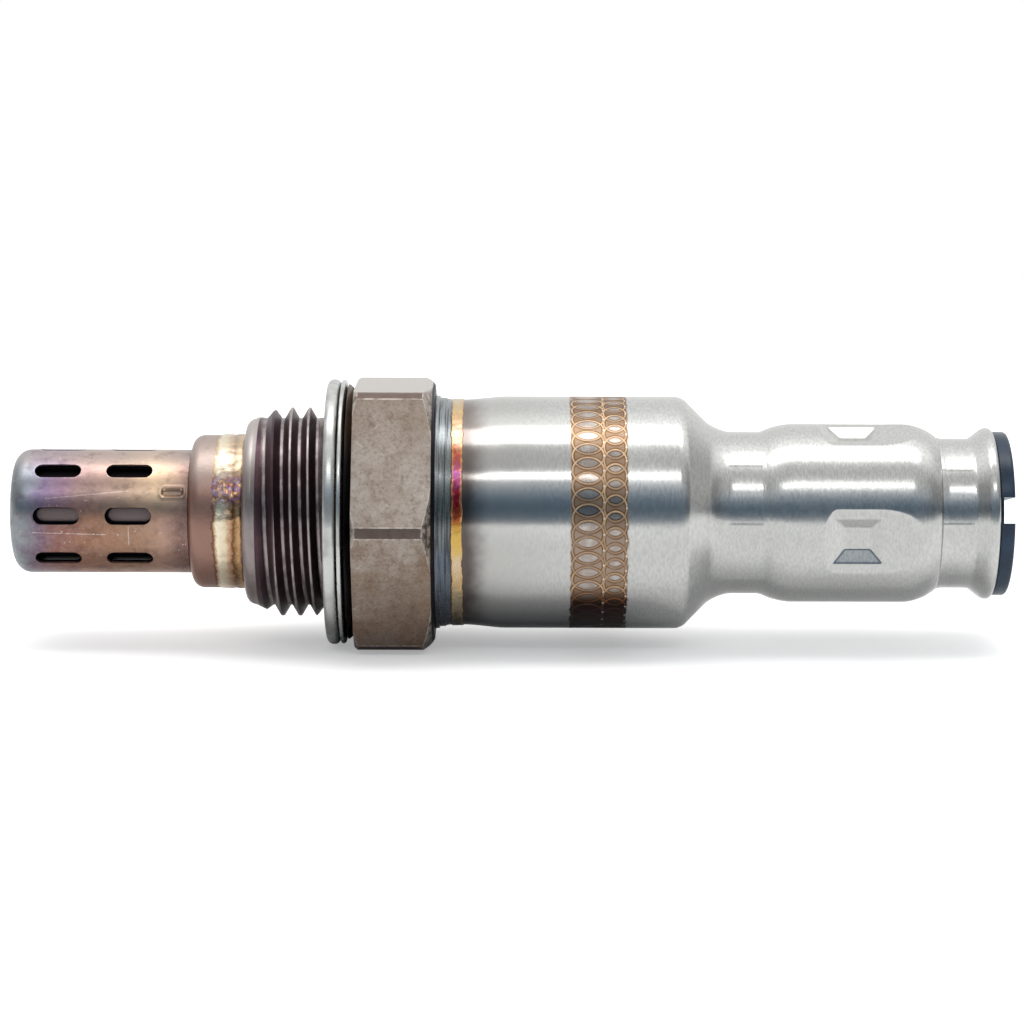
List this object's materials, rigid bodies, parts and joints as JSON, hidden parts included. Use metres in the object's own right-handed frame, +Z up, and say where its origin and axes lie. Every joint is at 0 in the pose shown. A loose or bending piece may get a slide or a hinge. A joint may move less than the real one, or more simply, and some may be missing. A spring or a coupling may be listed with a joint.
{
  "type": "oxygen sensor",
  "caption": "Exhaust oxygen sensor with a slotted heat-tinted protector tip, threaded hexagon body, folded gasket and crimped steel case with a dark terminal insert.",
  "frame": {"origin": "on the sensor's axis, in the plane of the gasket ring's front face, which seals on the exhaust boss; the thread starts there", "axes": "+X along the axis from the slotted tip to the terminal end; +Z up, with one flat of the hexagon facing down, as the sensor lies on its side"},
  "size_m": [0.0852, 0.0248, 0.0228],
  "materials": {
    "tinted_steel": "heat-tinted satin",
    "browned_steel": "heat-browned satin",
    "bright_steel": "satin",
    "case_steel": "brushed",
    "zirconia": "matt",
    "alumina": "matt",
    "talc": "pressed powder",
    "contact_alloy": "satin",
    "spring_steel": "satin",
    "seal_rubber": "matt",
    "vent_film": "matt",
    "insert_plastic": "moulded satin"
  },
  "bodies": {
    "root": {"outer_protector": "tinted_steel", "inner_protector": "tinted_steel", "metal_body": "browned_steel", "gasket_ring": "bright_steel", "seat_packing": "bright_steel", "sensing_element": "zirconia", "heater_rod": "alumina", "talc_seal": "talc", "ceramic_sleeve": "alumina", "crimp_ring": "bright_steel", "outer_contact": "contact_alloy", "inner_contact": "contact_alloy", "heater_contact_left": "contact_alloy", "heater_contact_right": "contact_alloy", "ceramic_separator": "alumina", "separator_spring": "spring_steel", "rubber_grommet": "seal_rubber", "filter_tube": "bright_steel", "filter_film": "vent_film", "ground_pin": "contact_alloy", "heater_pin_left": "contact_alloy", "signal_pin": "contact_alloy", "heater_pin_right": "contact_alloy", "terminal_insert": "insert_plastic", "outer_case": "case_steel"}
  },
  "joints": []
}
